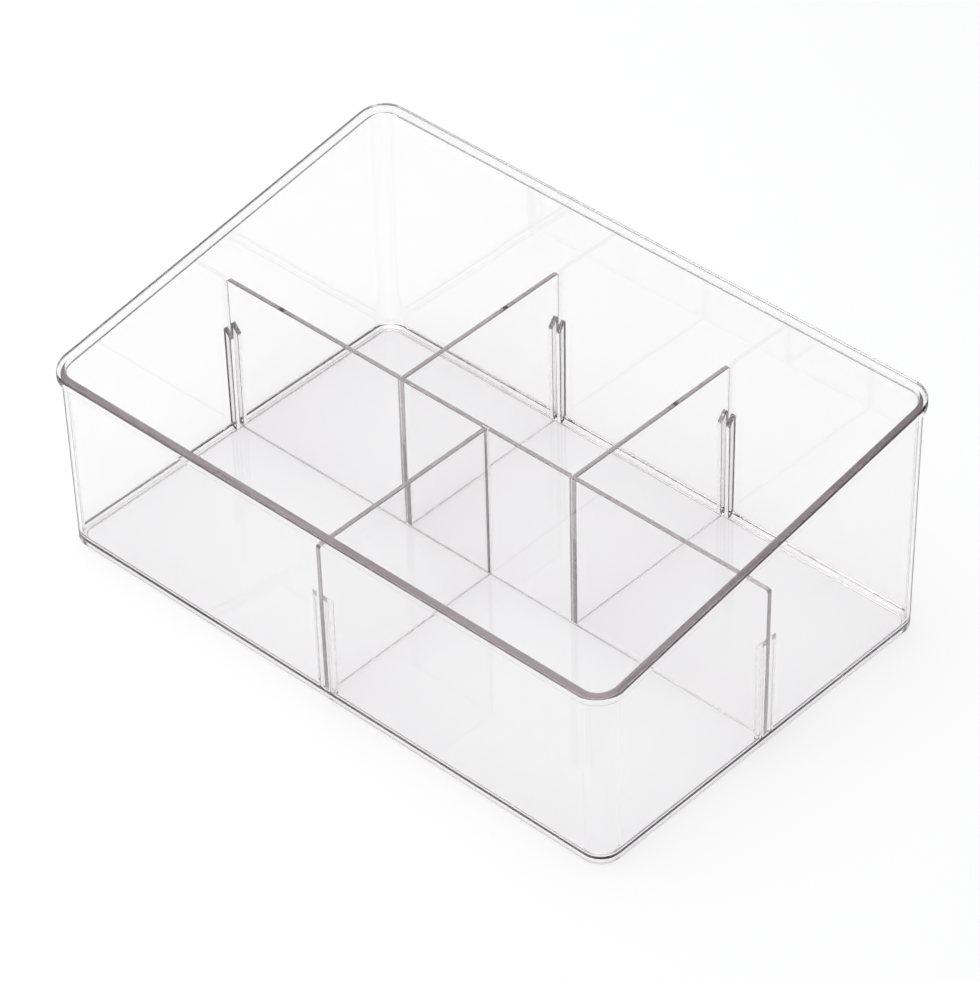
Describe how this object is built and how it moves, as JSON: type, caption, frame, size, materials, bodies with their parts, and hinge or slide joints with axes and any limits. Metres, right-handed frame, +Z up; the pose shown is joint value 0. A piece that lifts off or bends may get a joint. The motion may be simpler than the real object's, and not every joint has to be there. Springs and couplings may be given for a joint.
{
  "type": "sorting tray",
  "caption": "Clear plastic desk sorting tray: an open tub with a sloping rim and flat lift-out dividers that sit between ribs on its walls and split it into compartments.",
  "frame": {"origin": "middle of the footprint, on the surface that the tray stands on", "axes": "+X along the length to the right, +Y to the back where the rim is highest, +Z up"},
  "size_m": [0.265, 0.1736, 0.1042],
  "materials": {
    "clear_plastic": "clear, polished"
  },
  "bodies": {
    "tub": {"tub": "clear_plastic"},
    "long_divider": {"long_divider": "clear_plastic"},
    "front_divider": {"front_divider": "clear_plastic"},
    "rear_left_divider": {"rear_left_divider": "clear_plastic"},
    "rear_right_divider": {"rear_right_divider": "clear_plastic"}
  },
  "joints": [
    {"name": "long_divider_lift", "type": "slide", "parent": "tub", "child": "long_divider", "axis": [0, 0, 1], "range_m": [0, 0.11]},
    {"name": "front_divider_lift", "type": "slide", "parent": "tub", "child": "front_divider", "axis": [0, 0, 1], "range_m": [0, 0.11]},
    {"name": "rear_left_divider_lift", "type": "slide", "parent": "tub", "child": "rear_left_divider", "axis": [0, 0, 1], "range_m": [0, 0.11]},
    {"name": "rear_right_divider_lift", "type": "slide", "parent": "tub", "child": "rear_right_divider", "axis": [0, 0, 1], "range_m": [0, 0.11]}
  ]
}
